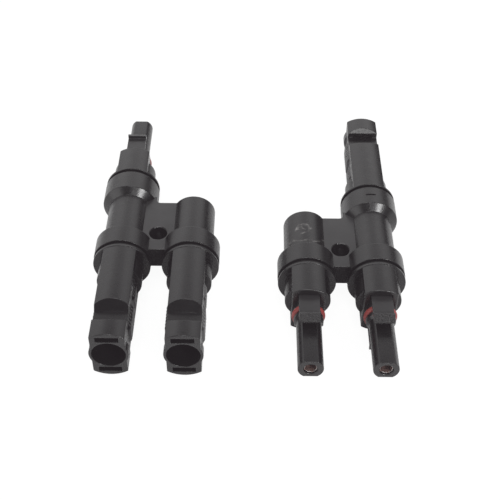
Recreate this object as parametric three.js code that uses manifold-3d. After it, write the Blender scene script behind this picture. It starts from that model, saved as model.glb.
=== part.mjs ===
// A mating pair of standard 4 mm photovoltaic branch connectors, lying side by side on their collars.
// Millimetres, +Z up. The origin is the bottom centre of the pair's bounding box.
// The left connector has two pin shells in front and one socket probe at its rear.
// The right connector is its twin: two socket probes in front and one pin shell at its rear.
import * as THREE from 'three';
import { mergeVertices } from 'three/addons/utils/BufferGeometryUtils.js';
import Module from 'manifold-3d';

const wasm = await Module();
wasm.setup();

// The pair's layout: each connector's long column stands on the outside
const COLUMN_X = 47.1;
const RIGHT_FORWARD = 7.9;

// Branch body: y = 0 is the front collars' rim, and y grows towards the rear
const PITCH = 25.5;
const COLLAR_R = 10.75;
const TUBE_R = 8.15;
const FRONT_COLLAR = 8.25;
const DEAD_END = 28.4;
const CONE_END = 30.7;
const TAIL_RIM = 39.65;
const WEB_FRONT = 1.95;
const WEB_HALF = 4.45;
const WEB_FILLET = 1.7;
const HOLE_Y = 10.85;
const HOLE_R = 3.25;
const SOCKET_R = 9.0;
const SOCKET_DEPTH = 7.5;
const CORE_R = 5.0;
const END_WALL = 2.4;
const MARK = { halfLength: 1.95, halfWidth: 0.38, depth: 0.45, setBack: 4.3 };

// Port housings: y = 0 is the collar's rim, and y grows out of the port
const STEM_R = 8.7;
const STEM_DEPTH = 6.9;
const GROOVE = 1.65;
const FLANGE_R = 10.65;
const FLANGE_TOP = 2.65;
const NECK_R = 8.25;
const NECK_TOP = 11.6;
const ARCH_R = 10.5;
const POCKET_R = 4.4;
const SHOULDER = 8.0;
const SLACK = 0.3;

// Pin shell
const SHELL = { length: 45.3, halfWidth: 6.03, boreR: 5.88, boreFloor: 14, contactR: 3.3 };
const MOUTH_RING = { r: 6.9, from: 42.0, taper: 1.0 };
const WINDOW = { rear: 28.6, foot: 31.6, front: 37.1, crest: 38.4, floor: 6.5, ledge: 8.65 };
const SLOT_HALF = 3.95;
const PADS = [
  { halfWidth: 6.95, halfHeight: 4.2, from: 24.5, to: 36.8 },
  { halfWidth: 6.8, halfHeight: 3.6, from: 14.0, to: 22.2 },
];

// Socket probe
const PROBE = { length: 42.6, r: 4.47, halfFlat: 3.75, boreR: 2.95, tipBoreR: 2.4, lip: 1.1 };
const BLOCK = { end: 15.7, halfWidth: 5.95 };
const SEAT = { r: 5.3, coreR: 3.6, from: 17.15, to: 19.85, lip: 1.35 };
const SEAL = { ringR: 4.95, sectionR: 1.05 };
const RECESS = { from: 24.5, to: 31.2, halfWidth: 2.36, depth: 0.45 };
const FINGER = { root: 13.2, under: 6.55, top: 7.85, crest: 9.6, shoulder: 24.9, ramp: 25.4, tip: 27.4 };
const FINGER_HALF = 3.7;
const FINGER_TIP_TOP = 6.9;
const FINGER_POCKET = { from: 12.9, under: 6.05, top: 8.25, halfWidth: 4.0 };

// Contacts, with their spring bands, clips and busbar
const PIN_R = 2.0;
const PIN_TIP = 30.5;
const CONTACT = { flangeR: 4.1, flangeFrom: 6.3, flangeTo: 7.7, bodyR: 2.45, rear: -12.5, pinBaseR: 3.0 };
const SOCKET_CONTACT = { r: 2.8, holeR: 2.25, tip: 41.2, holeFloor: 24 };
const CRIMP = { r: 1.75, depth: 6.2 };
const BAND = { outer: 2.13, inner: 1.92, from: 28, to: 36 };
const CLIP = { inner: 2.6, outer: 4.15, from: 4.7, to: 6.0, rim: 0.4 };
const BUSBAR = { halfWidth: 3, halfThick: 1.2, armFrom: 17, armTo: 23, gap: 0.7, prongHalf: 1, prong: 5.8 };

const ROUND = 28;
const SMALL_ROUND = 12;

/** A closed three.js geometry as a solid that can be joined and cut. */
function solid(geometry) {
  geometry.deleteAttribute('normal');
  geometry.deleteAttribute('uv');
  const merged = mergeVertices(geometry, 1e-4);
  const position = merged.attributes.position;
  const corners = [];
  let volume = 0;
  for (let i = 0; i < merged.index.count; i += 3) {
    const [a, b, c] = [0, 1, 2].map((k) => merged.index.getX(i + k));
    if (a === b || b === c || a === c) continue;
    corners.push([a, b, c]);
    const [p, q, r] = [a, b, c].map((k) => new THREE.Vector3().fromBufferAttribute(position, k));
    volume += p.dot(q.cross(r));
  }
  const outward = volume > 0 ? corners : corners.map(([a, b, c]) => [a, c, b]);
  const vertProperties = new Float32Array(position.array);
  const triVerts = new Uint32Array(outward.flat());
  return new wasm.Manifold(new wasm.Mesh({ numProp: 3, vertProperties, triVerts }));
}

/** A solid of revolution about Y, from a profile of [radius, y] that closes on the axis or on itself. */
function turned(profile, segments = ROUND) {
  const points = profile.map(([radius, y]) => new THREE.Vector2(radius, y));
  return solid(new THREE.LatheGeometry(points, segments));
}

function rod(radius, from, to, segments = ROUND) {
  return turned([[0, from], [radius, from], [radius, to], [0, to]], segments);
}

function ring(inner, outer, from, to, segments = ROUND) {
  return turned([[inner, from], [outer, from], [outer, to], [inner, to], [inner, from]], segments);
}

function box(x, y, z) {
  const geometry = new THREE.BoxGeometry(x[1] - x[0], y[1] - y[0], z[1] - z[0]);
  geometry.translate((x[0] + x[1]) / 2, (y[0] + y[1]) / 2, (z[0] + z[1]) / 2);
  return solid(geometry);
}

/** A side outline of [y, z] points, pushed through from -halfWidth to +halfWidth along X. */
function across(outline, halfWidth) {
  const shape = new THREE.Shape(outline.map(([y, z]) => new THREE.Vector2(y, z)));
  const geometry = new THREE.ExtrudeGeometry(shape, { depth: 2 * halfWidth, bevelEnabled: false });
  geometry.translate(0, 0, -halfWidth);
  const sideways = new THREE.Matrix4().makeBasis(
    new THREE.Vector3(0, 1, 0),
    new THREE.Vector3(0, 0, 1),
    new THREE.Vector3(1, 0, 0),
  );
  geometry.applyMatrix4(sideways);
  return solid(geometry);
}

/** The same solid above and below the axis. */
function aboveAndBelow(upper) {
  return upper.add(upper.mirror([0, 0, 1]));
}

function surface(manifold) {
  const mesh = manifold.getMesh();
  const geometry = new THREE.BufferGeometry();
  geometry.setAttribute('position', new THREE.BufferAttribute(new Float32Array(mesh.vertProperties), 3));
  geometry.setIndex(new THREE.BufferAttribute(new Uint32Array(mesh.triVerts), 1));
  geometry.computeVertexNormals();
  return geometry;
}

// ---- Branch body and busbar, in the branch frame

/** The web's outline seen from above, with a hollow fillet up to the rear collar. */
function web(side) {
  const outline = new THREE.Shape();
  outline.moveTo(0, WEB_FRONT);
  outline.lineTo(side * PITCH, WEB_FRONT);
  outline.lineTo(side * PITCH, DEAD_END);
  outline.lineTo(side * (COLLAR_R + WEB_FILLET), DEAD_END);
  outline.quadraticCurveTo(side * COLLAR_R, DEAD_END, side * COLLAR_R, DEAD_END + WEB_FILLET);
  outline.lineTo(side * COLLAR_R, CONE_END + 1);
  outline.lineTo(0, CONE_END + 1);
  const options = { depth: 2 * WEB_HALF, bevelEnabled: false, curveSegments: 6 };
  const geometry = new THREE.ExtrudeGeometry(outline, options);
  geometry.translate(0, 0, -WEB_HALF);
  return solid(geometry);
}

function branchBody(side, marked) {
  const frontEnd = [[0, 0], [COLLAR_R, 0], [COLLAR_R, FRONT_COLLAR], [TUBE_R, FRONT_COLLAR]];
  const rearEnd = [[TUBE_R, DEAD_END], [COLLAR_R, CONE_END], [COLLAR_R, TAIL_RIM], [0, TAIL_RIM]];
  const longColumn = turned([...frontEnd, ...rearEnd]);
  const shortColumn = turned([...frontEnd, [TUBE_R, DEAD_END], [0, DEAD_END]]);
  const far = [side * PITCH, 0, 0];

  const mouth = rod(SOCKET_R, -1, SOCKET_DEPTH);
  const tailMouth = rod(SOCKET_R, TAIL_RIM - SOCKET_DEPTH, TAIL_RIM + 1);
  const longCore = rod(CORE_R, 0, TAIL_RIM, SMALL_ROUND);
  const shortCore = rod(CORE_R, 0, DEAD_END - END_WALL, SMALL_ROUND);
  const clearance = BUSBAR.halfThick + 0.4;
  const passage = box(
    [Math.min(0, far[0]), Math.max(0, far[0])],
    [BUSBAR.armFrom - 0.4, BUSBAR.armTo + 0.4],
    [-clearance, clearance],
  );
  const hole = rod(HOLE_R, -2 * WEB_HALF, 2 * WEB_HALF, SMALL_ROUND).rotate([90, 0, 0]);

  let body = longColumn.add(shortColumn.translate(far)).add(web(side));
  body = body.subtract(mouth).subtract(tailMouth).subtract(longCore).subtract(passage);
  body = body.subtract(mouth.translate(far)).subtract(shortCore.translate(far));
  body = body.subtract(hole.translate([far[0] / 2, HOLE_Y, 0]));
  if (marked) {
    const y = TAIL_RIM - MARK.setBack;
    const floor = COLLAR_R - MARK.depth;
    const groove = box(
      [-MARK.halfLength, MARK.halfLength],
      [y - MARK.halfWidth, y + MARK.halfWidth],
      [floor, COLLAR_R + 1],
    );
    body = body.subtract(groove);
  }
  return body;
}

/** A copper plate with a prong into the crimp of each contact. */
function busbar(side) {
  const contactRear = -CONTACT.rear;
  const front = contactRear + BUSBAR.gap;
  const rear = TAIL_RIM - contactRear - BUSBAR.gap;
  const x = side * PITCH;
  const thick = [-BUSBAR.halfThick, BUSBAR.halfThick];
  const square = [-BUSBAR.prongHalf, BUSBAR.prongHalf];
  const width = [-BUSBAR.halfWidth, BUSBAR.halfWidth];
  const farWidth = [x - BUSBAR.halfWidth, x + BUSBAR.halfWidth];
  const farSquare = [x - BUSBAR.prongHalf, x + BUSBAR.prongHalf];
  return box(width, [front, rear], thick)
    .add(box([Math.min(0, x), Math.max(0, x)], [BUSBAR.armFrom, BUSBAR.armTo], thick))
    .add(box(farWidth, [front, BUSBAR.armTo], thick))
    .add(box(square, [front - BUSBAR.prong, front + 1], square))
    .add(box(square, [rear - 1, rear + BUSBAR.prong], square))
    .add(box(farSquare, [front - BUSBAR.prong, front + 1], square));
}

// ---- Port housings and their contents, in the port frame

/** The stem inside the collar, the flange over the gasket groove, and the round neck. */
function housingRoot() {
  return turned([
    [0, -STEM_DEPTH],
    [STEM_R, -STEM_DEPTH],
    [STEM_R, GROOVE],
    [FLANGE_R, GROOVE],
    [FLANGE_R, FLANGE_TOP],
    [NECK_R, FLANGE_TOP],
    [NECK_R, NECK_TOP],
    [0, NECK_TOP],
  ]);
}

/** A round bar with a flat on each side. */
function archedBar(halfWidth, from, to) {
  const slab = box([-halfWidth, halfWidth], [from - 1, to + 1], [-2 * ARCH_R, 2 * ARCH_R]);
  return rod(ARCH_R, from, to).intersect(slab);
}

function contactPocket() {
  return rod(POCKET_R, -STEM_DEPTH - 1, SHOULDER, SMALL_ROUND);
}

function pinShell() {
  const { length, halfWidth, boreR, boreFloor, contactR } = SHELL;
  let shell = housingRoot().add(archedBar(halfWidth, FLANGE_TOP, length));
  shell = shell.add(turned([
    [0, MOUTH_RING.from - MOUTH_RING.taper],
    [halfWidth, MOUTH_RING.from - MOUTH_RING.taper],
    [MOUTH_RING.r, MOUTH_RING.from],
    [MOUTH_RING.r, length],
    [0, length],
  ]));
  for (const pad of PADS) {
    const width = [-pad.halfWidth, pad.halfWidth];
    shell = shell.add(box(width, [pad.from, pad.to], [-pad.halfHeight, pad.halfHeight]));
  }
  const frontSlope = (WINDOW.crest - WINDOW.front) / (ARCH_R - WINDOW.ledge);
  const rearSlope = (WINDOW.foot - WINDOW.rear) / (ARCH_R - WINDOW.floor);
  const over = ARCH_R + 1;
  const window = across([
    [WINDOW.foot, WINDOW.floor],
    [WINDOW.front, WINDOW.floor],
    [WINDOW.front, WINDOW.ledge],
    [WINDOW.front + frontSlope * (over - WINDOW.ledge), over],
    [WINDOW.rear - rearSlope * (over - ARCH_R), over],
  ], 2 * halfWidth);
  const slot = box([-SLOT_HALF, SLOT_HALF], [WINDOW.front - 1, length + 1], [WINDOW.floor, WINDOW.ledge]);
  return shell
    .subtract(rod(boreR, boreFloor, length + 1, ROUND))
    .subtract(contactPocket())
    .subtract(rod(contactR, SHOULDER - 1, boreFloor + 1, SMALL_ROUND))
    .subtract(aboveAndBelow(window))
    .subtract(aboveAndBelow(slot));
}

function socketProbe() {
  const { length, r, halfFlat, boreR, tipBoreR, lip } = PROBE;
  const seat = turned([
    [0, BLOCK.end - 1],
    [SEAT.r, BLOCK.end - 1],
    [SEAT.r, SEAT.from],
    [SEAT.coreR, SEAT.from],
    [SEAT.coreR, SEAT.to],
    [SEAT.r, SEAT.to],
    [SEAT.r, SEAT.to + SEAT.lip],
    [r, SEAT.to + SEAT.lip + 1],
    [0, SEAT.to + SEAT.lip + 1],
  ]);
  const flats = box([-2 * r, 2 * r], [SEAT.to, length + 1], [-halfFlat, halfFlat]);
  const probe = rod(r, SEAT.to, length).intersect(flats);
  const recess = across([
    [RECESS.from, halfFlat - RECESS.depth],
    [RECESS.to, halfFlat + 0.02],
    [RECESS.from, halfFlat + 1],
  ], RECESS.halfWidth);
  const fingerPocket = box(
    [-FINGER_POCKET.halfWidth, FINGER_POCKET.halfWidth],
    [FINGER_POCKET.from, BLOCK.end + 1],
    [FINGER_POCKET.under, FINGER_POCKET.top],
  );
  return housingRoot()
    .add(archedBar(BLOCK.halfWidth, FLANGE_TOP, BLOCK.end))
    .add(seat)
    .add(probe)
    .subtract(contactPocket())
    .subtract(rod(boreR, SHOULDER - 1, length - lip, SMALL_ROUND))
    .subtract(rod(tipBoreR, length - lip - 1, length + 1, SMALL_ROUND))
    .subtract(aboveAndBelow(recess))
    .subtract(aboveAndBelow(fingerPocket));
}

function latchFinger(up) {
  return across([
    [FINGER.root, up * FINGER.under],
    [FINGER.tip, up * FINGER.under],
    [FINGER.tip, up * FINGER_TIP_TOP],
    [FINGER.ramp, up * FINGER.crest],
    [FINGER.shoulder, up * FINGER.crest],
    [FINGER.shoulder, up * FINGER.top],
    [FINGER.root, up * FINGER.top],
  ], FINGER_HALF);
}

function probeSeal() {
  const middle = (SEAT.from + SEAT.to) / 2;
  const steps = 8;
  const section = [];
  for (let i = 0; i <= steps; i += 1) {
    const turn = (2 * Math.PI * (i % steps)) / steps;
    section.push([SEAL.ringR + SEAL.sectionR * Math.cos(turn), middle + SEAL.sectionR * Math.sin(turn)]);
  }
  return turned(section, SMALL_ROUND);
}

function flangeGasket() {
  return ring(STEM_R + SLACK, COLLAR_R - 0.75, SLACK, GROOVE - SLACK);
}

/** The end of a contact inside the housing: crimp barrel and locating flange. */
function contactRoot(front) {
  const { flangeR, flangeFrom, flangeTo, bodyR, rear } = CONTACT;
  const start = [[0, rear], [bodyR, rear], [bodyR, flangeFrom], [flangeR, flangeFrom], [flangeR, flangeTo]];
  const contact = turned([...start, ...front], SMALL_ROUND);
  return contact.subtract(rod(CRIMP.r, rear - 1, rear + CRIMP.depth, SMALL_ROUND));
}

function pinContact() {
  const base = SHELL.boreFloor - 0.4;
  return contactRoot([
    [CONTACT.pinBaseR, CONTACT.flangeTo],
    [CONTACT.pinBaseR, base],
    [PIN_R, base],
    [PIN_R, PIN_TIP - 1],
    [PIN_R * 0.6, PIN_TIP],
    [0, PIN_TIP],
  ]);
}

function socketContact() {
  const { r, holeR, tip, holeFloor } = SOCKET_CONTACT;
  const body = contactRoot([[r, CONTACT.flangeTo], [r, tip], [0, tip]]);
  return body.subtract(rod(holeR, holeFloor, tip + 1, SMALL_ROUND));
}

function lamellaBand() {
  return ring(BAND.inner, BAND.outer, BAND.from, BAND.to, SMALL_ROUND);
}

/** A dished spring washer that keeps the contact's flange against its shoulder. */
function retainingClip() {
  return turned([
    [CLIP.inner, CLIP.from],
    [CLIP.outer, CLIP.to - CLIP.rim],
    [CLIP.outer, CLIP.to],
    [CLIP.inner, CLIP.from + CLIP.rim],
    [CLIP.inner, CLIP.from],
  ], SMALL_ROUND);
}

// ---- Materials

function material(color, roughness, metalness) {
  return new THREE.MeshStandardMaterial({ color, roughness, metalness });
}

const moulding = material(0x2b2b2d, 0.55, 0);
const latchPlastic = material(0x303032, 0.6, 0);
const sealRubber = material(0x9a3f3a, 0.55, 0);
const gasketRubber = material(0x141414, 0.8, 0);
const tinned = material(0xb9b6ae, 0.3, 1);
const copper = material(0xb87352, 0.35, 1);
const springSteel = material(0x9c9a94, 0.35, 1);

// ---- Assembly

function named(name, manifold, look) {
  const mesh = new THREE.Mesh(surface(manifold), look);
  mesh.name = name;
  return mesh;
}

/** Everything that stands at one port: the housing, its seals, its contact and its fingers. */
function port(label, kind) {
  const group = new THREE.Group();
  group.add(named(`${label}_flange_gasket`, flangeGasket(), gasketRubber));
  group.add(named(`${label}_retaining_clip`, retainingClip(), springSteel));
  if (kind === 'pin') {
    group.add(named(`${label}_pin_shell`, pinShell(), moulding));
    group.add(named(`${label}_pin_contact`, pinContact(), tinned));
    return group;
  }
  group.add(named(`${label}_socket_probe`, socketProbe(), moulding));
  group.add(named(`${label}_socket_contact`, socketContact(), tinned));
  group.add(named(`${label}_lamella_band`, lamellaBand(), copper));
  group.add(named(`${label}_probe_seal`, probeSeal(), sealRubber));
  group.add(named(`${label}_top_finger`, latchFinger(1), latchPlastic));
  group.add(named(`${label}_bottom_finger`, latchFinger(-1), latchPlastic));
  return group;
}

function connector(name, side, frontKind, rearKind, marked) {
  const group = new THREE.Group();
  group.add(named(`${name}_branch_body`, branchBody(side, marked), moulding));
  group.add(named(`${name}_busbar`, busbar(side), copper));
  const outer = port(`${name}_front_outer`, frontKind);
  const inner = port(`${name}_front_inner`, frontKind);
  const rear = port(`${name}_rear`, rearKind);
  outer.rotation.z = Math.PI;
  inner.rotation.z = Math.PI;
  inner.position.x = side * PITCH;
  rear.position.y = TAIL_RIM;
  group.add(outer, inner, rear);
  return group;
}

const rearEnd = TAIL_RIM + PROBE.length;
const frontEnd = -RIGHT_FORWARD - PROBE.length;
const middleY = (rearEnd + frontEnd) / 2;

const connectorPair = new THREE.Group();
const left = connector('left', 1, 'pin', 'socket', false);
left.position.set(-COLUMN_X, -middleY, COLLAR_R);
const right = connector('right', -1, 'socket', 'pin', true);
right.position.set(COLUMN_X, -RIGHT_FORWARD - middleY, COLLAR_R);
connectorPair.add(left, right);

export default connectorPair;
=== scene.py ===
"""Looks for the pair of solar branch connectors: fine meshes, materials, light and camera.

Every piece is built in millimetres in its own port or branch frame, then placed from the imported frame.
In a port frame y = 0 is the collar's rim and y grows out of the port. In a branch frame y = 0 is the
front collars' rim and y grows towards the rear collar.
"""
import math

import bmesh
import bpy
from mathutils import Matrix, Vector


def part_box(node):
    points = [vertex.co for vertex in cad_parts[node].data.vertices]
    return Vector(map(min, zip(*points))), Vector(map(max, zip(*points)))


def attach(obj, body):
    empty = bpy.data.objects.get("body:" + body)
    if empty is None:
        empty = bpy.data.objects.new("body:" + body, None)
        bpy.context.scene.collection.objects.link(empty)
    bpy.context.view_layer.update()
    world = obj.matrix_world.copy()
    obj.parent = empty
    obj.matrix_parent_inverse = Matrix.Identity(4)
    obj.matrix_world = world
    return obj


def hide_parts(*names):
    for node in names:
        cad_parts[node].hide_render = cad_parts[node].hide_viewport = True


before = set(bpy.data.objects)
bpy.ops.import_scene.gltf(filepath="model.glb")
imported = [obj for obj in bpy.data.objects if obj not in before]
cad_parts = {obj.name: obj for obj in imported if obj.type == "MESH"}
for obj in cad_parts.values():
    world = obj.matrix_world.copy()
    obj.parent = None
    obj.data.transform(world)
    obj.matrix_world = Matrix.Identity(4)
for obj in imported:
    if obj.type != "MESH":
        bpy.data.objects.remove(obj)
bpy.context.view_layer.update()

MM = 0.001

# Main sizes, in millimetres. Most are the CAD's own, and a few are refined here.
PITCH = 25.5
COLLAR_R = 10.75
TUBE_R = 8.15
FRONT_COLLAR = 8.25
DEAD_END = 28.4
BUSBAR_PASSAGE = (16.6, 23.4)
BUSBAR_ROOM = 1.6
CONE_END = 30.7
TAIL_RIM = 39.65
WEB_FRONT = 1.95
WEB_HALF = 4.45
WEB_FILLET = 1.7
HOLE_Y = 10.85
HOLE_R = 3.25
SOCKET_R = 9.0
SOCKET_DEPTH = 7.5
CORE_R = 5.0
END_WALL = 2.4
STEM_R = 8.7
STEM_DEPTH = 6.9
GROOVE = 1.65
FLANGE_R = 10.65
FLANGE_TOP = 2.65
NECK_R = 8.25
NECK_TOP = 11.6
ARCH_R = 10.5
POCKET_R = 4.4
SHOULDER = 8.0
SLACK = 0.3
SHELL_LENGTH = 45.3
SHELL_HALF = 6.03
BORE_R = 5.88
BORE_FLOOR = 14.0
CONTACT_R = 3.3
MOUTH_R = 6.9
MOUTH_FROM = 42.0
MOUTH_TAPER = 1.0
WINDOW_REAR = 28.6
WINDOW_FOOT = 31.6
WINDOW_FRONT = 37.1
WINDOW_CREST = 38.4
WINDOW_FLOOR = 6.5
SLOT_TOP = 8.65
SLOT_HALF = 3.95
PROBE_LENGTH = 42.6
PROBE_R = 4.47
PROBE_FLAT = 3.75
PROBE_BORE = 2.95
TIP_BORE = 2.4
TIP_LIP = 1.1
BLOCK_END = 15.7
BLOCK_HALF = 5.95
RECESS_FROM = 24.5
RECESS_TO = 31.4
RECESS_HALF = 2.36
RECESS_DEPTH = 0.5
SEAT_R = 5.3
SEAT_CORE = 3.6
SEAT_FROM = 17.15
SEAT_TO = 19.85
SEAT_LIP = 1.35
RING_R = 4.95
RING_SECTION = 1.05
FINGER_HALF = 3.7
FINGER_ROOT = 13.2
FINGER_UNDER = 6.55
FINGER_TOP = 7.85
FINGER_CREST = 9.6
FINGER_SHOULDER = 24.9
FINGER_RAMP = 25.6
FINGER_TIP = 27.4
FINGER_NOSE = 6.9
CRIMP_REAR = -12.5
CRIMP_R = 1.75
CRIMP_DEPTH = 6.2
CONTACT_BODY_R = 2.45
LOCATING_R = 4.1
LOCATING_FROM = 6.3
LOCATING_TO = 7.7
PIN_ROOT_R = 3.0
PIN_ROOT_END = 13.6
PIN_R = 2.0
PIN_TIP = 30.5
SLEEVE_R = 2.8
SPRING_BORE = 2.25
SPRING_FLOOR = 24.0
SOCKET_TIP = 41.2
BAND_FROM = 28.0
BAND_LENGTH = 8.0
BAND_R = 2.03

# Smaller details, in millimetres. A pad is its y start and end, its half height, its crest and its ribs.
OUTER_PAD = (24.5, 36.8, 3.2, 6.95, 7)
INNER_PAD = (14.0, 22.2, 2.6, 6.8, 5)
PAD_RELIEF = 0.28
PAD_MARGIN = 0.8
PAD_SLOPE = 2.4
PAD_EASE = 0.1
SIDE_GROOVE_Y = (15.0, 26.5)
SIDE_GROOVE_Z = (7.1, 7.7)
SEAT_ROOT = 14.5
FINGER_POCKET_HALF = 4.0
FINGER_POCKET_FLOOR = 12.9
FINGER_POCKET_Z = (6.05, 8.25)
CREST_LEAN = 0.35
CONTACT_NOSE_BACK = 0.7
CONTACT_NOSE_R = 2.25
CONTACT_NOSE_BORE = 2.02
CONTACT_SLOT_HALF = 0.16
BAND_FLARE = 0.1
BAND_THICKNESS = 0.06
LOUVRES = 12
MARK_FROM_RIM = 4.3
MARK_HALF_LENGTH = 1.95
MARK_HALF_WIDTH = 0.38
MARK_DEPTH = 0.45
HOLE_FLARE = 0.45
WEB_INSET = 4.0
DULL_BORE = 12.0

# The ends of a turned profile are kept this far off the axis while its corners are rounded, in millimetres.
NEAR_AXIS = 0.01

# Steps round a turned solid
ROUND = 96


# ---- Outlines

def rounded(points, radii, steps=4):
    """A closed outline with its corners rounded. radii is one number for all corners, or one for each."""
    count = len(points)
    radii = radii if isinstance(radii, (list, tuple)) else [radii] * count
    out = []
    for i, radius in enumerate(radii):
        here = Vector(points[i])
        before = Vector(points[i - 1]) - here
        after = Vector(points[(i + 1) % count]) - here
        if radius <= 0:
            out.append(tuple(here))
            continue
        half = before.angle(after) / 2
        reach = min(radius / math.tan(half), 0.49 * before.length, 0.49 * after.length)
        start = here + before.normalized() * reach
        end = here + after.normalized() * reach
        centre = here + (before.normalized() + after.normalized()).normalized() * (reach / math.cos(half))
        a, b = start - centre, end - centre
        sweep = a.angle_signed(b)
        for k in range(steps + 1):
            turn = -sweep * k / steps
            out.append(tuple(centre + Matrix.Rotation(turn, 2) @ a))
    return out


def arched_section(radius, half_width, corner=0.14, steps=32):
    """A circle with a flat on each side, its four edges eased. Points are (x, z)."""
    edge = math.asin(half_width / radius)
    trim = corner / radius
    top_z = radius * math.cos(edge)
    quarter = []
    for k in range(4):
        t = k / 4
        a = Vector((half_width, top_z - corner))
        b = Vector((half_width, top_z))
        c = Vector((radius * math.sin(edge - trim), radius * math.cos(edge - trim)))
        quarter.append((1 - t) ** 2 * a + 2 * t * (1 - t) * b + t * t * c)
    arc = [(edge - trim) * (1 - k / (steps / 2)) for k in range(int(steps / 2) + 1)]
    quarter += [Vector((radius * math.sin(a), radius * math.cos(a))) for a in arc]
    right_top = [(p.x, p.y) for p in quarter]
    left_top = [(-x, z) for x, z in reversed(right_top[:-1])]
    top = right_top + left_top
    return top + [(-x, -z) for x, z in top]


def flatted_section(radius, half_flat, corner=0.12, steps=24):
    """A circle with a flat above and below. Points are (x, z)."""
    return [(z, -x) for x, z in arched_section(radius, half_flat, corner, steps)]


# ---- Solids

def mesh_object(name, verts, faces):
    mesh = bpy.data.meshes.new(name)
    mesh.from_pydata([tuple(v) for v in verts], [], faces)
    bm = bmesh.new()
    bm.from_mesh(mesh)
    bmesh.ops.recalc_face_normals(bm, faces=bm.faces)
    bm.to_mesh(mesh)
    bm.free()
    obj = bpy.data.objects.new(name, mesh)
    bpy.context.scene.collection.objects.link(obj)
    return obj


def turned(profile, segments=ROUND):
    """A solid of revolution about Y. The profile of (radius, y) closes on the axis or on itself."""
    verts, faces, rows = [], [], []
    for radius, y in profile:
        if radius < 1e-6:
            rows.append([len(verts)] * segments)
            verts.append((0, y, 0))
            continue
        rows.append(list(range(len(verts), len(verts) + segments)))
        for k in range(segments):
            a = 2 * math.pi * k / segments
            verts.append((radius * math.sin(a), y, radius * math.cos(a)))
    count = len(rows)
    closed = profile[0][0] > 1e-6
    for i in range(count if closed else count - 1):
        a, b = rows[i], rows[(i + 1) % count]
        for k in range(segments):
            n = (k + 1) % segments
            face = [a[k], a[n], b[n], b[k]]
            unique = list(dict.fromkeys(face))
            if len(unique) > 2:
                faces.append(unique)
    return mesh_object("turned", verts, faces)


def to_axis(profile):
    """A profile whose two ends, which were kept just off the axis for rounding, are moved onto it."""
    profile[0] = (0, profile[0][1])
    profile[-1] = (0, profile[-1][1])
    return profile


def loft(rings):
    """A closed solid through rings of the same number of points, with a flat face on each end."""
    size = len(rings[0])
    verts = [p for ring in rings for p in ring]
    faces = [list(range(size)), list(range(len(verts) - size, len(verts)))]
    for r in range(len(rings) - 1):
        for k in range(size):
            n = (k + 1) % size
            faces.append([r * size + k, r * size + n, (r + 1) * size + n, (r + 1) * size + k])
    return mesh_object("loft", verts, faces)


def ease(radius, steps=4):
    """(inset, drop) pairs of a quarter round, from the side wall to the end face."""
    turns = [math.pi / 2 * k / steps for k in range(steps + 1)]
    return [(radius * (1 - math.cos(t)), radius * (1 - math.sin(t))) for t in turns]


def bar(section, start, end, radius=0.3):
    """section(inset) gives (x, z) points. The bar runs along Y, and its far end has an eased edge."""
    rings = [[(x, start, z) for x, z in section(0)]]
    for inset, drop in ease(radius):
        rings.append([(x, end - drop, z) for x, z in section(inset)])
    return loft(rings)


def across(outline, half_width, radius=0.0):
    """A side outline of (y, z) points, pushed through along X, with both faces' edges eased."""
    if radius <= 0:
        return loft([[(x, y, z) for y, z in outline] for x in (-half_width, half_width)])
    rings = []
    for inset, drop in ease(radius):
        shrunk = shrink(outline, inset)
        rings.append([(half_width - drop, y, z) for y, z in shrunk])
    mirrored = [[(-x, y, z) for x, y, z in ring] for ring in rings]
    return loft(list(reversed(mirrored)) + rings)


def shrink(outline, inset):
    """The outline moved inwards by inset, corner by corner."""
    if inset <= 0:
        return list(outline)
    count = len(outline)
    area = sum(
        outline[i - 1][0] * outline[i][1] - outline[i][0] * outline[i - 1][1] for i in range(count)
    )
    side = 1 if area > 0 else -1
    out = []
    for i in range(count):
        p = Vector(outline[i])
        a = (p - Vector(outline[i - 1])).normalized()
        b = (Vector(outline[(i + 1) % count]) - p).normalized()
        na, nb = Vector((-a.y, a.x)) * side, Vector((-b.y, b.x)) * side
        bisector = (na + nb).normalized()
        out.append(tuple(p + bisector * inset / max(0.3, bisector.dot(na))))
    return out


def upright(outline, low, high):
    """A plan outline of (x, y) points, pushed up from low to high."""
    return loft([[(x, y, z) for x, y in outline] for z in (low, high)])


def block(x, y, z):
    return upright([(x[0], y[0]), (x[1], y[0]), (x[1], y[1]), (x[0], y[1])], z[0], z[1])


def rod(radius, start, end, segments=ROUND):
    return turned([(0, start), (radius, start), (radius, end), (0, end)], segments)


def flared_bore(radius, start, mouth, flare, segments=ROUND):
    """A cutter for a bore whose mouth has an eased rim."""
    profile = [(0, start), (radius, start)]
    profile += [(radius + grow, mouth - drop) for grow, drop in ease(flare)]
    profile += [(radius + flare, mouth + 1), (0, mouth + 1)]
    return turned(profile, segments)


def apply_boolean(target, other, operation):
    modifier = target.modifiers.new("join", "BOOLEAN")
    modifier.operation = operation
    modifier.solver = "EXACT"
    modifier.object = other
    graph = bpy.context.evaluated_depsgraph_get()
    mesh = bpy.data.meshes.new_from_object(target.evaluated_get(graph))
    target.modifiers.clear()
    target.data = mesh
    bpy.data.objects.remove(other)
    return target


def join(target, *others):
    for other in others:
        apply_boolean(target, other, "UNION")
    return target


def cut(target, *others):
    for other in others:
        apply_boolean(target, other, "DIFFERENCE")
    return target


def turned_over(obj):
    """The same solid on the other side of the middle plane, above to below."""
    copy = obj.copy()
    copy.data = obj.data.copy()
    copy.data.transform(Matrix.Rotation(math.pi, 4, "Y"))
    bpy.context.scene.collection.objects.link(copy)
    return copy


def both_sides(obj):
    return obj, turned_over(obj)


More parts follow.
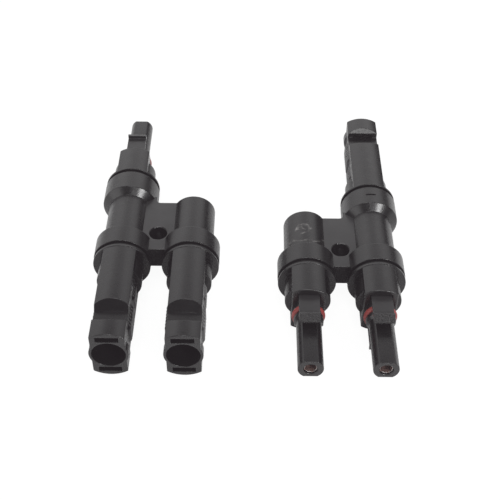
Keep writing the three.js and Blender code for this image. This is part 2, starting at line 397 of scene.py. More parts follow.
def soften(obj, width, segments=2, limit=40.0):
    """Eases every outer edge that is still sharp."""
    bm = bmesh.new()
    bm.from_mesh(obj.data)
    bmesh.ops.remove_doubles(bm, verts=bm.verts, dist=1e-4)
    bmesh.ops.dissolve_degenerate(bm, edges=bm.edges, dist=1e-4)
    sharp = [
        e for e in bm.edges
        if e.is_manifold and e.calc_face_angle_signed(0) > math.radians(limit)
    ]
    bmesh.ops.bevel(
        bm, geom=sharp, offset=width, offset_type="OFFSET", segments=segments, profile=0.5,
        affect="EDGES", clamp_overlap=False, miter_outer="SHARP", miter_inner="SHARP",
    )
    bm.to_mesh(obj.data)
    bm.free()
    return obj


def finished(obj, sharp_angle=32.0):
    """The piece's mesh in metres, smooth-shaded with its sharp edges kept and its flats kept flat."""
    obj.data.transform(Matrix.Scale(MM, 4))
    obj.data.shade_smooth()
    obj.data.set_sharp_from_angle(angle=math.radians(sharp_angle))
    weighted = obj.modifiers.new("flats", "WEIGHTED_NORMAL")
    weighted.mode = "FACE_AREA"
    weighted.keep_sharp = True
    graph = bpy.context.evaluated_depsgraph_get()
    mesh = bpy.data.meshes.new_from_object(obj.evaluated_get(graph))
    bpy.data.objects.remove(obj)
    return mesh


# ---- Pieces

def housing_root():
    """The stem in the collar, the groove for the gasket, the flange and the neck."""
    profile = rounded(
        [(NEAR_AXIS, -STEM_DEPTH), (STEM_R, -STEM_DEPTH), (STEM_R, GROOVE), (FLANGE_R, GROOVE),
         (FLANGE_R, FLANGE_TOP), (NECK_R, FLANGE_TOP), (NECK_R, NECK_TOP), (NEAR_AXIS, NECK_TOP)],
        [0, 0.2, 0, 0.15, 0.2, 0.15, 0.35, 0],
    )
    return turned(to_axis(profile))


def contact_pocket():
    return rod(POCKET_R, -STEM_DEPTH - 1, SHOULDER, 48)


def grip(side, start, end, half_height, crest, ribs):
    """A raised pad on one flat: rounded upright ribs, with a long slope above and below back to the flat."""
    root = SHELL_HALF - 1
    base = crest - PAD_RELIEF
    steps = ribs * 10
    wave = []
    for k in range(steps + 1):
        y = start + PAD_MARGIN + (end - start - 2 * PAD_MARGIN) * k / steps
        wave.append((base + PAD_RELIEF * abs(math.sin(math.pi * ribs * k / steps)) ** 0.6, y))
    outline = [(root, start), (SHELL_HALF, start)] + wave + [(SHELL_HALF, end), (root, end)]
    foot = crest - SHELL_HALF + PAD_EASE
    rings = []
    for inset, z in ((foot, half_height + PAD_SLOPE), (PAD_EASE, half_height), (0, half_height - 0.4)):
        rings.append([(side * max(root, x - inset), y, z) for x, y in outline])
    below = [[(x, y, -z) for x, y, z in ring] for ring in rings]
    return loft(rings + list(reversed(below)))


def window_cutter():
    """A latch window: a flat floor, a long slope up to the rear and a short one up to the front."""
    over = ARCH_R + 1
    front_slope = (WINDOW_CREST - WINDOW_FRONT) / (ARCH_R - SLOT_TOP)
    rear_slope = (WINDOW_FOOT - WINDOW_REAR) / (ARCH_R - WINDOW_FLOOR)
    outline = [
        (WINDOW_FOOT, WINDOW_FLOOR),
        (WINDOW_FRONT, WINDOW_FLOOR),
        (WINDOW_FRONT, SLOT_TOP),
        (WINDOW_FRONT + front_slope * (over - SLOT_TOP), over),
        (WINDOW_REAR - rear_slope * (over - ARCH_R), over),
    ]
    return across(rounded(outline, [0, 0.15, 0.2, 0, 0]), 3 * SHELL_HALF)


def slot_cutter():
    """The way in for a latch finger, from the mouth's face to the window, with an eased rim."""
    rim = 0.2
    stations = [(0, WINDOW_FRONT - 1)]
    stations += [(grow, SHELL_LENGTH - drop) for grow, drop in ease(rim)]
    stations.append((rim, SHELL_LENGTH + 1))
    rings = []
    for grow, y in stations:
        side, low, high = SLOT_HALF + grow, WINDOW_FLOOR - grow, SLOT_TOP + grow
        corners = rounded([(-side, low), (side, low), (side, high), (-side, high)], 0.15)
        rings.append([(x, y, z) for x, z in corners])
    return loft(rings)


def pin_shell_mesh():
    """A pin port's housing: an arched bar on the root, with a round mouth, pads, bore, windows and slots."""
    def section(inset):
        return arched_section(ARCH_R - inset, SHELL_HALF - inset)

    start = MOUTH_FROM - MOUTH_TAPER
    ring = rounded(
        [(NEAR_AXIS, start), (SHELL_HALF, start), (MOUTH_R, MOUTH_FROM), (MOUTH_R, SHELL_LENGTH),
         (NEAR_AXIS, SHELL_LENGTH)],
        [0, 0, 0.4, 0.3, 0],
    )
    shell = bar(section, FLANGE_TOP - 0.5, SHELL_LENGTH)
    join(shell, housing_root(), turned(to_axis(ring)))
    for side in (-1, 1):
        join(shell, grip(side, *OUTER_PAD), grip(side, *INNER_PAD))
    cut(shell, flared_bore(BORE_R, BORE_FLOOR, SHELL_LENGTH, 0.22), contact_pocket())
    cut(shell, rod(CONTACT_R, SHOULDER - 1, BORE_FLOOR + 1, 48))
    cut(shell, *both_sides(window_cutter()), *both_sides(slot_cutter()))
    for side in (-1, 1):
        x = sorted((side * (SHELL_HALF - 0.5), side * (SHELL_HALF + 1)))
        cut(shell, *both_sides(block(x, SIDE_GROOVE_Y, SIDE_GROOVE_Z)))
    soften(shell, 0.13)
    return finished(shell)


def socket_probe_mesh():
    """A socket port's housing: an arched block on the root, the seal's seat, and a probe with two flats."""
    def block_section(inset):
        return arched_section(ARCH_R - inset, BLOCK_HALF - inset)

    def probe_section(inset):
        return flatted_section(PROBE_R - inset, PROBE_FLAT - inset)

    housing = bar(block_section, FLANGE_TOP - 0.5, BLOCK_END, 0.45)
    seat_end = SEAT_TO + SEAT_LIP + 1
    seat = rounded(
        [(NEAR_AXIS, SEAT_ROOT), (SEAT_R, SEAT_ROOT), (SEAT_R, SEAT_FROM), (SEAT_CORE, SEAT_FROM),
         (SEAT_CORE, SEAT_TO), (SEAT_R, SEAT_TO), (SEAT_R, SEAT_TO + SEAT_LIP), (PROBE_R - 0.02, seat_end),
         (NEAR_AXIS, seat_end)],
        [0, 0, 0.15, 0.2, 0.2, 0.15, 0.3, 0, 0],
    )
    probe = bar(probe_section, SEAT_TO + 0.3, PROBE_LENGTH, 0.25)
    join(housing, housing_root(), turned(to_axis(seat)), probe)
    over = PROBE_FLAT + 2
    hollow = rounded(
        [(RECESS_FROM, PROBE_FLAT - RECESS_DEPTH), (RECESS_TO, PROBE_FLAT + 0.03), (RECESS_TO, over),
         (RECESS_FROM, over)],
        [0.15, 0, 0, 0],
    )
    recess = across(hollow, RECESS_HALF)
    pocket_y = (FINGER_POCKET_FLOOR, BLOCK_END + 1)
    pocket = block((-FINGER_POCKET_HALF, FINGER_POCKET_HALF), pocket_y, FINGER_POCKET_Z)
    cut(housing, contact_pocket(), rod(PROBE_BORE, SHOULDER - 1, PROBE_LENGTH - TIP_LIP, 64))
    cut(housing, flared_bore(TIP_BORE, PROBE_LENGTH - 3, PROBE_LENGTH, 0.45, 64))
    cut(housing, *both_sides(recess), *both_sides(pocket))
    soften(housing, 0.12)
    return finished(housing)


def finger_mesh():
    """A latch finger: its shoulder is square, its crest leans back and its nose slopes down to the tip."""
    outline = rounded(
        [(FINGER_ROOT, FINGER_UNDER), (FINGER_TIP, FINGER_UNDER), (FINGER_TIP, FINGER_NOSE),
         (FINGER_RAMP, FINGER_CREST), (FINGER_SHOULDER, FINGER_CREST - CREST_LEAN),
         (FINGER_SHOULDER, FINGER_TOP), (FINGER_ROOT, FINGER_TOP)],
        [0.6, 0.12, 0.15, 0.25, 0.1, 0.2, 0.6],
    )
    return finished(across(outline, FINGER_HALF, 0.2))


def seal_mesh():
    """The O-ring in the middle of its seat."""
    middle = (SEAT_FROM + SEAT_TO) / 2
    section = []
    for k in range(24):
        turn = 2 * math.pi * k / 24
        section.append((RING_R + RING_SECTION * math.cos(turn), middle + RING_SECTION * math.sin(turn)))
    return finished(turned(section), 60)


def gasket_mesh():
    """The flat ring in the groove between the collar and the flange."""
    inner, outer = STEM_R + SLACK, COLLAR_R - 0.75
    low, high = SLACK, GROOVE - SLACK
    section = [(inner, low), (outer, low), (outer, high), (inner, high)]
    return finished(turned(rounded(section, [0.1, 0.35, 0.35, 0.1])))


def contact_mesh(front, radii):
    """A turned contact: crimp barrel, locating flange, then the front that it is given."""
    barrel = CRIMP_REAR + CRIMP_DEPTH
    rear = [(NEAR_AXIS, barrel), (CRIMP_R, barrel), (CRIMP_R, CRIMP_REAR), (CONTACT_BODY_R, CRIMP_REAR),
            (CONTACT_BODY_R, LOCATING_FROM), (LOCATING_R, LOCATING_FROM), (LOCATING_R, LOCATING_TO)]
    profile = rounded(rear + front, [0, 0, 0.1, 0.15, 0.1, 0.1, 0.1] + radii)
    return turned(to_axis(profile), 64)


def pin_mesh():
    front = [(PIN_ROOT_R, LOCATING_TO), (PIN_ROOT_R, PIN_ROOT_END), (PIN_R, PIN_ROOT_END),
             (PIN_R, PIN_TIP - 1.2), (1.1, PIN_TIP), (NEAR_AXIS, PIN_TIP)]
    return finished(contact_mesh(front, [0.1, 0.2, 0.1, 0.6, 0.5, 0]))


def socket_mesh():
    """The socket contact: its nose reaches into the probe's tip, and four slots part it into springs."""
    nose = PROBE_LENGTH - CONTACT_NOSE_BACK
    front = [(SLEEVE_R, LOCATING_TO), (SLEEVE_R, SOCKET_TIP), (CONTACT_NOSE_R, SOCKET_TIP),
             (CONTACT_NOSE_R, nose), (CONTACT_NOSE_BORE, nose), (CONTACT_NOSE_BORE, SOCKET_TIP - 1),
             (SPRING_BORE, SOCKET_TIP - 1.4), (SPRING_BORE, SPRING_FLOOR), (NEAR_AXIS, SPRING_FLOOR)]
    contact = contact_mesh(front, [0.1, 0.1, 0, 0.12, 0.12, 0.1, 0.1, 0.2, 0])
    for turn in (0, math.pi / 2):
        slot = block((-CONTACT_SLOT_HALF, CONTACT_SLOT_HALF), (BAND_FROM + 2, PROBE_LENGTH + 0.4), (-3, 3))
        slot.data.transform(Matrix.Rotation(turn + math.pi / 4, 4, "Y"))
        cut(contact, slot)
    return finished(contact)


def lamella_mesh():
    """A thin spring band, waisted so that its middle presses on the pin, and cut into louvres."""
    rows = []
    for k in range(13):
        t = k / 12
        rows.append((BAND_R + BAND_FLARE * (2 * t - 1) ** 2, BAND_FROM + BAND_LENGTH * t))
    rows += [(r + BAND_THICKNESS, y) for r, y in reversed(rows)]
    band = turned(rows, 72)
    slit_y = (BAND_FROM + 1.2, BAND_FROM + BAND_LENGTH - 1.2)
    tilt = Matrix.Rotation(0.06, 4, "Z")
    for k in range(LOUVRES):
        slit = block((-0.12, 0.12), slit_y, (1.5, 3))
        slit.data.transform(Matrix.Rotation(2 * math.pi * k / LOUVRES, 4, "Y") @ tilt)
        cut(band, slit)
    return finished(band)


def branch_mesh(side, marked):
    """The one-piece moulding: a long tube with a collar at each end, a short closed tube, and the web."""
    rim, step = 0.22, 0.35
    tail_floor = TAIL_RIM - SOCKET_DEPTH
    wall = DEAD_END - END_WALL
    long_profile = rounded(
        [(CORE_R, SOCKET_DEPTH), (SOCKET_R, SOCKET_DEPTH), (SOCKET_R, 0), (COLLAR_R, 0),
         (COLLAR_R, FRONT_COLLAR), (TUBE_R, FRONT_COLLAR), (TUBE_R, DEAD_END), (COLLAR_R, CONE_END),
         (COLLAR_R, TAIL_RIM), (SOCKET_R, TAIL_RIM), (SOCKET_R, tail_floor), (CORE_R, tail_floor)],
        [0, 0, 0.15, rim, step, 0.2, 0.25, 0.35, rim, 0.15, 0, 0], 5,
    )
    short_profile = rounded(
        [(NEAR_AXIS, wall), (CORE_R, wall), (CORE_R, SOCKET_DEPTH), (SOCKET_R, SOCKET_DEPTH),
         (SOCKET_R, 0), (COLLAR_R, 0), (COLLAR_R, FRONT_COLLAR), (TUBE_R, FRONT_COLLAR),
         (TUBE_R, DEAD_END), (NEAR_AXIS, DEAD_END)],
        [0, 0, 0, 0, 0.15, rim, step, 0.2, 0.6, 0], 5,
    )
    body = turned(long_profile, 128)
    short = turned(to_axis(short_profile), 128)
    far = side * PITCH
    short.data.transform(Matrix.Translation((far, 0, 0)))
    join(body, short, web_plate(side))
    passage = block(sorted((0, far)), BUSBAR_PASSAGE, (-BUSBAR_ROOM, BUSBAR_ROOM))
    cut(body, passage)
    if marked:
        low, high = TAIL_RIM - MARK_FROM_RIM - MARK_HALF_WIDTH, TAIL_RIM - MARK_FROM_RIM + MARK_HALF_WIDTH
        end = MARK_HALF_LENGTH
        dash = rounded([(-end, low), (end, low), (end, high), (-end, high)], 0.2)
        cut(body, upright(dash, COLLAR_R - MARK_DEPTH, COLLAR_R + 1))
    return finished(body)


def web_plate(side):
    """The web between the tubes, with eased edges and a hollow fillet up to the rear collar."""
    def outline(inset):
        rear, front = DEAD_END - inset, WEB_FRONT + inset
        reach = COLLAR_R + WEB_FILLET
        points = [(4, front), (PITCH - 4, front), (PITCH - 4, rear), (reach, rear)]
        for k in range(1, 9):
            turn = math.pi / 2 * k / 8
            x = reach - (WEB_FILLET + inset) * math.sin(turn)
            y = DEAD_END + WEB_FILLET - (WEB_FILLET + inset) * math.cos(turn)
            points.append((x, y))
        points += [(COLLAR_R - inset, CONE_END + 1), (4, CONE_END + 1)]
        return [(side * x, y) for x, y in points]

    rings = []
    for inset, drop in ease(0.35):
        rings.append([(x, y, WEB_HALF - drop) for x, y in outline(inset)])
    below = [[(x, y, -z) for x, y, z in ring] for ring in rings]
    plate = loft(list(reversed(below)) + rings)
    profile = []
    for k in range(6):
        t = math.pi / 2 * k / 5
        radius = HOLE_R + HOLE_FLARE * (1 - math.cos(t))
        profile.append((radius, WEB_HALF - HOLE_FLARE * (1 - math.sin(t))))
    profile.append((HOLE_R + HOLE_FLARE, WEB_HALF + 1))
    profile = [(r, -z) for r, z in reversed(profile)] + profile
    hole = turned([(0, -WEB_HALF - 1)] + profile + [(0, WEB_HALF + 1)], 64)
    upright_turn = Matrix.Rotation(math.pi / 2, 4, "X")
    hole.data.transform(Matrix.Translation((side * PITCH / 2, HOLE_Y, 0)) @ upright_turn)
    cut(plate, hole)
    rooms = ((SOCKET_R + 0.9, -1, SOCKET_DEPTH + 0.35), (CORE_R + 1.6, 0, CONE_END + 2))
    for x in (0, side * PITCH):
        for radius, start, end in rooms:
            room = rod(radius, start, end)
            room.data.transform(Matrix.Translation((x, 0, 0)))
            cut(plate, room)
    return plate


# ---- Materials

class Nodes:
    """Short calls for building one material's node tree."""

    def __init__(self, name):
        self.material = bpy.data.materials.new(name)
        self.material.use_nodes = True
        self.tree = self.material.node_tree
        self.shader = self.tree.nodes["Principled BSDF"]
        self.place = self.add("ShaderNodeTexCoord").outputs["Object"]

    def add(self, kind, **values):
        node = self.tree.nodes.new(kind)
        for key, value in values.items():
            setattr(node, key, value)
        return node

    def link(self, source, target):
        self.tree.links.new(source, target)

    def noise(self, scale, detail=2.0, roughness=0.5, source=None):
        node = self.add("ShaderNodeTexNoise")
        node.inputs["Scale"].default_value = scale
        node.inputs["Detail"].default_value = detail
        node.inputs["Roughness"].default_value = roughness
        self.link(source or self.place, node.inputs["Vector"])
        return node.outputs["Fac"]

    def span(self, source, low, high, to_low, to_high):
        node = self.add("ShaderNodeMapRange")
        self.link(source, node.inputs["Value"])
        for key, value in zip(("From Min", "From Max", "To Min", "To Max"), (low, high, to_low, to_high)):
            node.inputs[key].default_value = value
        return node.outputs["Result"]

    def math(self, operation, a, b):
        node = self.add("ShaderNodeMath")
        node.operation = operation
        for socket, value in zip(node.inputs, (a, b)):
            if isinstance(value, (int, float)):
                socket.default_value = value
            else:
                self.link(value, socket)
        return node.outputs[0]

    def mix(self, factor, a, b):
        node = self.add("ShaderNodeMix", data_type="RGBA")
        self.link(factor, node.inputs["Factor"])
        for key, value in (("A", a), ("B", b)):
            socket = [s for s in node.inputs if s.name == key and s.type == "RGBA"][0]
            if isinstance(value, tuple):
                socket.default_value = (*value, 1)
            else:
                self.link(value, socket)
        return [s for s in node.outputs if s.type == "RGBA"][0]

    def bump(self, height, strength, distance, normal=None):
        node = self.add("ShaderNodeBump")
        node.inputs["Strength"].default_value = strength
        node.inputs["Distance"].default_value = distance
        self.link(height, node.inputs["Height"])
        if normal is not None:
            self.link(normal, node.inputs["Normal"])
        return node.outputs["Normal"]


def scuff_mask(n, rings):
    """Faint broken rub marks: each is part of a ring round a centre, of a radius and a width, in metres."""
    bend_scale, bend, patch_scale = 300, 0.0042, 620
    wander = n.add("ShaderNodeTexNoise")
    wander.inputs["Scale"].default_value = bend_scale
    n.link(n.place, wander.inputs["Vector"])
    shift = n.add("ShaderNodeVectorMath", operation="SCALE")
    shift.inputs["Scale"].default_value = bend
    n.link(wander.outputs["Color"], shift.inputs[0])
    moved = n.add("ShaderNodeVectorMath", operation="ADD")
    n.link(n.place, moved.inputs[0])
    n.link(shift.outputs["Vector"], moved.inputs[1])
    broken = n.span(n.noise(patch_scale, 3), 0.40, 0.66, 0, 1)
    total = 0.0
    for centre, radius, width in rings:
        away = n.add("ShaderNodeVectorMath", operation="DISTANCE")
        n.link(moved.outputs["Vector"], away.inputs[0])
        away.inputs[1].default_value = centre
        rise = n.span(away.outputs["Value"], radius - width, radius, 0, 1)
        fall = n.span(away.outputs["Value"], radius, radius + width, 1, 0)
        total = n.math("ADD", total, n.math("MULTIPLY", rise, fall))
    return n.math("MULTIPLY", total, broken)


def plastic(name, color, rough_low, rough_high, grain, scuffs=()):
    """Black moulded plastic with a fine grain, faint flow marks, a few specks of dust and any scuffs."""
    n = Nodes(name)
    flow = n.noise(90, 3)
    fine = n.noise(2600, 2, 0.6)
    dark = tuple(c * 0.82 for c in color)
    light = tuple(c * 1.25 for c in color)
    tone = n.mix(n.span(flow, 0.35, 0.65, 0, 1), dark, light)
    speck = n.add("ShaderNodeTexVoronoi")
    speck.inputs["Scale"].default_value = 260
    n.link(n.place, speck.inputs["Vector"])
    rare = n.span(n.noise(140, 1), 0.64, 0.68, 0, 1)
    dot = n.math("MULTIPLY", n.span(speck.outputs["Distance"], 0.05, 0.08, 1, 0), rare)
    tone = n.mix(n.math("MULTIPLY", dot, 0.35), tone, DUST)
    if scuffs:
        tone = n.mix(n.math("MULTIPLY", scuff_mask(n, scuffs), 0.45), tone, RUBBED)
    n.link(tone, n.shader.inputs["Base Color"])
    n.link(n.span(n.noise(420, 3), 0.3, 0.7, rough_low, rough_high), n.shader.inputs["Roughness"])
    broad = n.bump(n.noise(700, 2), 0.05, 0.00012)
    n.link(n.bump(fine, grain, 0.00006, broad), n.shader.inputs["Normal"])
    return n.material


def rough_plastic(name, color, gloss=0.5):
    """The spark-eroded grain on the fingers' ramps. The web's front edge uses it too, with a low specular
    level, as painted shade.
    """
    n = Nodes(name)
    dark = tuple(c * 0.3 for c in color)
    light = tuple(c * 2.6 for c in color)
    pits = n.noise(1300, 3, 0.6)
    n.link(n.mix(n.span(pits, 0.4, 0.6, 0, 1), dark, light), n.shader.inputs["Base Color"])
    n.link(n.span(pits, 0.35, 0.65, 0.40, 0.68), n.shader.inputs["Roughness"])
    n.shader.inputs["Specular IOR Level"].default_value = gloss
    n.link(n.bump(pits, 1.0, 0.0006), n.shader.inputs["Normal"])
    return n.material


def rubber(name, color, roughness):
    n = Nodes(name)
    dark = tuple(c * 0.8 for c in color)
    light = tuple(c * 1.2 for c in color)
    n.link(n.mix(n.noise(500, 3), dark, light), n.shader.inputs["Base Color"])
    n.shader.inputs["Roughness"].default_value = roughness
    n.link(n.bump(n.noise(1800, 2), 0.25, 0.00008), n.shader.inputs["Normal"])
    return n.material


def metal(name, color, second, roughness):
    """A plated or drawn metal: fine lines round its axis and patches where the plating thins."""
    n = Nodes(name)
    n.shader.inputs["Metallic"].default_value = 1
    n.link(n.mix(n.span(n.noise(520, 3), 0.5, 0.62, 0, 1), color, second), n.shader.inputs["Base Color"])
    n.link(n.span(n.noise(900, 2), 0.3, 0.7, roughness * 0.8, roughness * 1.3), n.shader.inputs["Roughness"])
    stretch = n.add("ShaderNodeMapping")
    stretch.inputs["Scale"].default_value = (0.15, 1, 0.15)
    n.link(n.place, stretch.inputs["Vector"])
    lines = n.noise(4000, 1, source=stretch.outputs["Vector"])
    n.link(n.bump(lines, 0.15, 0.00003), n.shader.inputs["Normal"])
    return n.material


# Colours are linear red, green and blue.
BLACK = (0.0047, 0.0045, 0.0047)
DUST = (0.30, 0.29, 0.27)
RUBBED = (0.30, 0.29, 0.28)

# Each rub mark's centre, radius and width, in metres in the branch frame
SCUFFS = (
    ((-0.0242, 0.0206, 0.0100), 0.0022, 0.0006),
    ((-0.0256, 0.0194, 0.0100), 0.0018, 0.0004),
    ((-0.0242, 0.0260, 0.0100), 0.0120, 0.0006),
)

MATERIALS = {
    "moulding": plastic("moulded_black", BLACK, 0.25, 0.31, 0.2),
    "scuffed_moulding": plastic("moulded_black_scuffed", BLACK, 0.25, 0.31, 0.2, SCUFFS),
    # Painted light: the web's top faces get a black about four times lighter than the rest of the same
    # moulding, so the lit top reads lighter.
    "web_top": plastic("moulded_black_matt_painted_light", (0.0205, 0.0200, 0.0205), 0.30, 0.36, 0.3),
    "gloss": plastic("moulded_black_gloss", BLACK, 0.25, 0.29, 0.05),
    "polished": plastic("moulded_black_polished", BLACK, 0.13, 0.16, 0.05),
    # The fingers are black plastic, but their black is about three times lighter than the housing's, as
    # painted light so their lit tops read lighter.
    "latch_plastic": plastic("finger_black_painted_light", (0.0140, 0.0135, 0.0140), 0.30, 0.38, 0.25),
    "latch_rough": rough_plastic("finger_ramp_black", (0.0060, 0.0058, 0.0060)),
    # Painted shade: the web's front face between the ports, where shade falls, gets a dull black with a low
    # specular level.
    "web_front": rough_plastic("web_front_painted_shade", (0.004, 0.0038, 0.004), 0.2),
    "seal_rubber": rubber("red_silicone", (0.26, 0.034, 0.029), 0.5),
    "gasket_rubber": rubber("black_gasket", (0.006, 0.006, 0.006), 0.75),
    "tinned_contact": metal("tinned_copper", (0.46, 0.44, 0.43), (0.42, 0.24, 0.19), 0.48),
    "bore_wall": rubber("dull_copper", (0.125, 0.076, 0.066), 0.6),
    "copper": metal("bare_copper", (0.70, 0.36, 0.22), (0.62, 0.30, 0.18), 0.32),
    "spring_steel": metal("spring_steel", (0.48, 0.47, 0.45), (0.42, 0.41, 0.39), 0.35),
}


# ---- Placing

def port_matrix(label):
    """The port frame: its rim and axis come from the CAD gasket, which stands just outside the rim."""
    low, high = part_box(label + "_flange_gasket")
    centre = (low + high) / 2
    if label.endswith("rear"):
        return Matrix.Translation((centre.x, low.y - SLACK * MM, centre.z))
    return Matrix.Translation((centre.x, high.y + SLACK * MM, centre.z)) @ Matrix.Rotation(math.pi, 4, "Z")


def place(name, mesh, matrix, body, slot, *nodes):
    """Sets a mesh in the scene as a piece, with its body and the CAD nodes that it replaces. The slot is not
    used.
    """
    obj = bpy.data.objects.new(name, mesh)
    bpy.context.scene.collection.objects.link(obj)
    obj.matrix_world = matrix
    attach(obj, body)
    if nodes:
        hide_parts(*nodes)
    return obj


def dress(mesh, *materials):
    """Gives a mesh its materials. All its faces start with the first."""
    mesh.materials.clear()
    for material in materials:
        mesh.materials.append(MATERIALS[material])
    return mesh


def tell_faces(mesh, index, test):
    """Faces that pass the test, on their centre in millimetres and their normal, take that material."""
    for face in mesh.polygons:
        if test(face.center / MM, face.normal):
            face.material_index = index
    return mesh


def on_cone(centre, normal):
    radius = math.hypot(centre.x, centre.z)
    return TUBE_R < radius < COLLAR_R and DEAD_END < centre.y < CONE_END + 0.1 and normal.y < -0.3


def in_web_hole(side):
    hole = Vector((side * PITCH / 2, HOLE_Y))

    def test(centre, normal):
        near = (Vector((centre.x, centre.y)) - hole).length < HOLE_R + 0.5
        return near and abs(centre.z) < WEB_HALF + 0.01 and abs(normal.z) < 0.97
    return test


def on_web_front(side):
    def test(centre, normal):
        edge = normal.y < -0.9 and abs(centre.y - WEB_FRONT) < 0.1
        return edge and WEB_INSET < side * centre.x < PITCH - WEB_INSET
    return test


def in_contact_bore(centre, normal):
    radius = math.hypot(centre.x, centre.z)
    inward = normal.x * centre.x + normal.z * centre.z < 0
    along = SOCKET_TIP - DULL_BORE < centre.y < PROBE_LENGTH - 1
    return along and radius < SPRING_BORE + 0.05 and inward


def on_window_slope(centre, normal):
    """The long slope of a shell's window, where the latch finger's nose slides."""
    inside = WINDOW_REAR - 0.1 < centre.y < WINDOW_FOOT + 0.1 and abs(centre.z) > WINDOW_FLOOR
    return inside and normal.y > 0.5 and abs(normal.z) > 0.3


def on_web_top(side):
    def test(centre, normal):
        level = abs(normal.z) > 0.97 and abs(abs(centre.z) - WEB_HALF) < 0.01
        return level and WEB_INSET < side * centre.x < PITCH - WEB_INSET
    return test


def on_finger_ramp(centre, normal):
    return normal.y > 0.5 and normal.z > 0.3 and centre.z > FINGER_NOSE - 0.1


def build_pieces():
    shell = dress(pin_shell_mesh(), "moulding", "polished")
    tell_faces(shell, 1, on_window_slope)
    probe = dress(socket_probe_mesh(), "moulding")
    finger = dress(finger_mesh(), "latch_plastic", "latch_rough")
    tell_faces(finger, 1, on_finger_ramp)
    seal = dress(seal_mesh(), "seal_rubber")
    gasket = dress(gasket_mesh(), "gasket_rubber")
    pin = dress(pin_mesh(), "tinned_contact")
    socket = dress(socket_mesh(), "tinned_contact", "bore_wall")
    tell_faces(socket, 1, in_contact_bore)
    band = dress(lamella_mesh(), "copper")
    over = Matrix.Rotation(math.pi, 4, "Y")
    for name, side, marked in (("left", 1, False), ("right", -1, True)):
        body = name + "_connector"
        moulding = "scuffed_moulding" if marked else "moulding"
        branch = dress(branch_mesh(side, marked), moulding, "gloss", "web_top", "polished", "web_front")
        tell_faces(branch, 1, on_cone)
        # Painted light: faces 2, the web's top faces, take the lighter black.
        tell_faces(branch, 2, on_web_top(side))
        tell_faces(branch, 3, in_web_hole(side))
        # Painted shade: faces 4, the web's front face between the ports, take the dull black.
        tell_faces(branch, 4, on_web_front(side))
        at_rim = Matrix.Translation(port_matrix(name + "_front_outer").translation)
        place(name + "_branch_moulding", branch, at_rim, body, "moulding", name + "_branch_body")
        for port in ("front_outer", "front_inner", "rear"):
            label = f"{name}_{port}"
            matrix = port_matrix(label)
            place(label + "_gasket_ring", gasket, matrix, body, "gasket_rubber", label + "_flange_gasket")
            if label + "_pin_shell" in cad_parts:
                place(label + "_shell_moulding", shell, matrix, body, "moulding", label + "_pin_shell")
                place(label + "_pin", pin, matrix, body, "tinned_contact", label + "_pin_contact")
                continue
            place(label + "_probe_moulding", probe, matrix, body, "moulding", label + "_socket_probe")
            place(label + "_socket", socket, matrix, body, "tinned_contact", label + "_socket_contact")
            place(label + "_louvred_band", band, matrix, body, "copper", label + "_lamella_band")
            place(label + "_o_ring", seal, matrix, body, "seal_rubber", label + "_probe_seal")
            for where, turn in (("top", Matrix.Identity(4)), ("bottom", over)):
                node = f"{label}_{where}_finger"
                place(f"{label}_{where}_latch", finger, matrix @ turn, node, "latch_plastic", node)


def dress_cad_nodes():
    """The inner pieces that keep their CAD shape."""
    kinds = {"busbar": "copper", "retaining_clip": "spring_steel"}
    for name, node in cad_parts.items():
        for ending, kind in kinds.items():
            if name.endswith(ending):
                node.data.materials.clear()
                node.data.materials.append(MATERIALS[kind])


# ---- Studio

def make_floor():
    """A pale floor. The camera sees it nearly evenly lit, and everything else sees its real shading."""
    half = 3.0
    corners = [(-half, -half, 0), (half, -half, 0), (half, half, 0), (-half, half, 0)]
    floor = mesh_object("floor", corners, [[0, 1, 2, 3]])
    n = Nodes("pale_floor")
    n.shader.inputs["Base Color"].default_value = (0.9, 0.9, 0.9, 1)
    n.shader.inputs["Roughness"].default_value = 0.9
    n.shader.inputs["Specular IOR Level"].default_value = 0.1
    glow = n.add("ShaderNodeEmission")
    glow.inputs["Strength"].default_value = 1.05
    mixer = n.add("ShaderNodeMixShader")
    seen = n.span(n.add("ShaderNodeLightPath").outputs["Is Camera Ray"], 0, 1, 0, 0.9)
    n.link(seen, mixer.inputs[0])
    n.link(n.shader.outputs[0], mixer.inputs[1])
    n.link(glow.outputs[0], mixer.inputs[2])
    n.link(mixer.outputs[0], n.tree.nodes["Material Output"].inputs["Surface"])
    floor.data.materials.append(n.material)


class Sky:
    """The room's light by direction: +Y is behind the object, -Y is where the camera stands."""

    def __init__(self, tree):
        self.tree = tree
        split = self.add("ShaderNodeSeparateXYZ")
        self.direction = self.add("ShaderNodeTexCoord").outputs["Generated"]
        tree.links.new(self.direction, split.inputs[0])
        self.x, self.y, self.z = split.outputs

    def add(self, kind):
        return self.tree.nodes.new(kind)

    def ramp(self, source, low, high, to_low, to_high):
        """A level that goes smoothly from to_low to to_high while the source goes from low to high."""
        node = self.add("ShaderNodeMapRange")
        node.interpolation_type = "SMOOTHSTEP"
        self.tree.links.new(source, node.inputs["Value"])
        for key, value in zip(("From Min", "From Max", "To Min", "To Max"), (low, high, to_low, to_high)):
            node.inputs[key].default_value = value
        return node.outputs["Result"]

    def towards(self, direction, low, high, level):
        """A soft patch of light round one direction."""
        node = self.add("ShaderNodeVectorMath")
        node.operation = "DOT_PRODUCT"
        self.tree.links.new(self.direction, node.inputs[0])
        node.inputs[1].default_value = direction
        return self.ramp(node.outputs["Value"], low, high, 0, level)

    def combine(self, operation, a, b):
        node = self.add("ShaderNodeMath")
        node.operation = operation
        for socket, value in zip(node.inputs, (a, b)):
            if isinstance(value, (int, float)):
                socket.default_value = value
            else:
                self.tree.links.new(value, socket)
        return node.outputs[0]


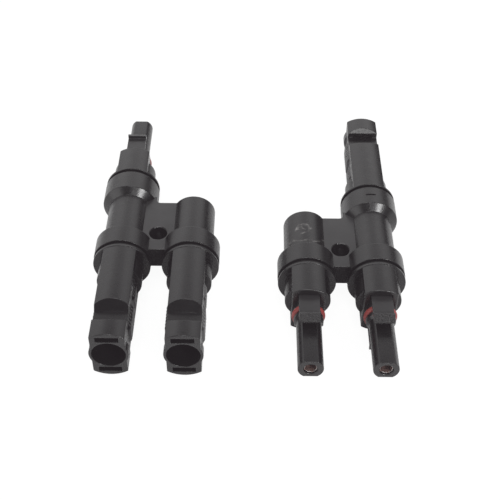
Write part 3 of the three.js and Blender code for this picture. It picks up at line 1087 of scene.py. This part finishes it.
def make_world():
    """Bright behind at window height, dim overhead and in front, dark low on the far right.

    A window glows at the front left, and a small bright opening above and in front. The camera itself
    sees plain white.
    """
    world = bpy.data.worlds.new("studio")
    bpy.context.scene.world = world
    world.use_nodes = True
    world.node_tree.nodes.clear()
    sky = Sky(world.node_tree)
    behind = sky.ramp(sky.y, -0.35, 0.35, 0, 1)
    height = sky.ramp(sky.z, 0.66, 0.76, 1.42, 0.14)
    low = sky.ramp(sky.z, 0.05, 0.35, 0.75, 1.0)
    left_side = sky.ramp(sky.x, -0.75, -0.3, 0.68, 1)
    sides = sky.combine("MULTIPLY", left_side, sky.ramp(sky.x, 0.25, 0.7, 1, 0.62))
    rear_light = sky.combine("MULTIPLY", height, low)
    rear_light = sky.combine("MULTIPLY", rear_light, sky.combine("MULTIPLY", behind, sides))
    right = sky.combine("MULTIPLY", sky.ramp(sky.x, 0.3, 0.5, 0, 1), sky.ramp(sky.z, 0.2, 0.45, 1, 0))
    right = sky.combine("MULTIPLY", right, behind)
    front_light = sky.ramp(behind, 0, 1, 0.10, 0)
    window = sky.towards((-0.795, -0.556, 0.242), 0.84, 0.96, 1.8)
    opening = sky.towards((0.134, -0.847, 0.515), 0.9925, 0.998, 12.0)
    glows = sky.combine("ADD", window, opening)
    level = sky.combine("ADD", sky.combine("ADD", rear_light, front_light), glows)
    level = sky.combine("MULTIPLY", level, sky.ramp(right, 0, 1, 1, 0.1))
    lit, plain = sky.add("ShaderNodeBackground"), sky.add("ShaderNodeBackground")
    sky.tree.links.new(level, lit.inputs["Strength"])
    lit.inputs["Color"].default_value = plain.inputs["Color"].default_value = (1, 1, 1, 1)
    mixer, out = sky.add("ShaderNodeMixShader"), sky.add("ShaderNodeOutputWorld")
    sky.tree.links.new(sky.add("ShaderNodeLightPath").outputs["Is Camera Ray"], mixer.inputs[0])
    sky.tree.links.new(lit.outputs[0], mixer.inputs[1])
    sky.tree.links.new(plain.outputs[0], mixer.inputs[2])
    sky.tree.links.new(mixer.outputs[0], out.inputs["Surface"])


def area_light(name, place_at, target, size, power):
    light = bpy.data.lights.new(name, "AREA")
    light.shape = "RECTANGLE"
    light.size, light.size_y = size
    light.energy = power
    obj = bpy.data.objects.new(name, light)
    bpy.context.scene.collection.objects.link(obj)
    obj.location = place_at
    obj.rotation_mode = "QUATERNION"
    obj.rotation_quaternion = (Vector(target) - Vector(place_at)).to_track_quat("-Z", "Y")
    return obj


def make_lights():
    area_light("overhead", (-0.05, -0.05, 1.1), (0, 0, 0), (0.7, 0.5), 5.5)
    area_light("front_window", (0.515, -0.69, 0.49), (0.02, 0.0, 0.01), (0.25, 0.21), 4.8)


def lift_blacks():
    """The picture's deepest shade is a warm near-black, not zero."""
    view = bpy.context.scene.view_settings
    view.view_transform = "Standard"
    view.use_curve_mapping = True
    view.curve_mapping.black_level = (-0.0168, -0.0140, -0.0160)
    view.curve_mapping.update()


def make_camera():
    """Stands in front of the two-port ends and looks down at them."""
    camera = bpy.data.cameras.new("camera")
    camera.lens = 68.649
    camera.sensor_width = 36
    camera.shift_x, camera.shift_y = -0.00137, 0.0037
    camera.clip_start, camera.clip_end = 0.01, 20
    obj = bpy.data.objects.new("camera", camera)
    bpy.context.scene.collection.objects.link(obj)
    down, roll, heading = math.radians(44.298), math.radians(0.578), math.radians(0.167)
    turn = (
        Matrix.Rotation(heading, 4, "Z")
        @ Matrix.Rotation(math.pi / 2 - down, 4, "X")
        @ Matrix.Rotation(roll, 4, "Z")
    )
    obj.matrix_world = Matrix.Translation((0.001579, -0.268536, 0.262977)) @ turn
    bpy.context.scene.camera = obj


make_camera()
make_world()
make_floor()
make_lights()
build_pieces()
dress_cad_nodes()
lift_blacks()

bpy.context.view_layer.update()
